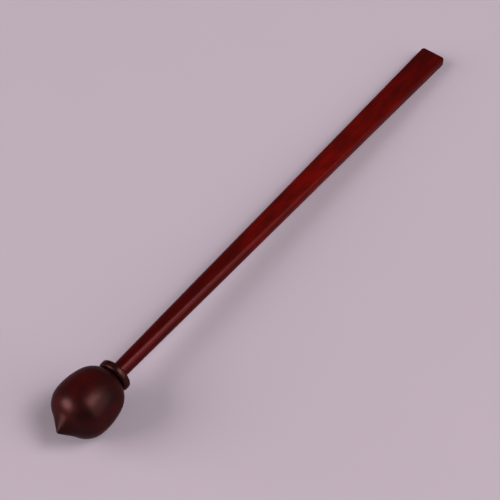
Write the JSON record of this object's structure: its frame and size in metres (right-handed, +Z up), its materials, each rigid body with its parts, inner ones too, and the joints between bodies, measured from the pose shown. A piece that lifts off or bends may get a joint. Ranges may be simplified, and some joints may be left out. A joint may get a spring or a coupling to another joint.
{
  "type": "wooden percussion mallet",
  "caption": "Slender wooden mallet lying at rest: pointed ovoid hardwood head, turned collar ring and a long straight handle that goes from round at the collar to a flat butt.",
  "frame": {"origin": "on the table under the middle of the mallet as it lies at rest", "axes": "+X from the head towards the butt of the handle, +Y across the flat of the handle, +Z up"},
  "size_m": [0.3238, 0.031, 0.031],
  "materials": {
    "head_wood": "dark red-brown hardwood, waxed to a soft sheen",
    "collar_wood": "dark brown hardwood, waxed to a soft sheen",
    "handle_wood": "deep red hardwood, waxed to a soft sheen"
  },
  "bodies": {
    "root": {"head": "head_wood", "collar": "collar_wood", "handle": "handle_wood"}
  },
  "joints": []
}
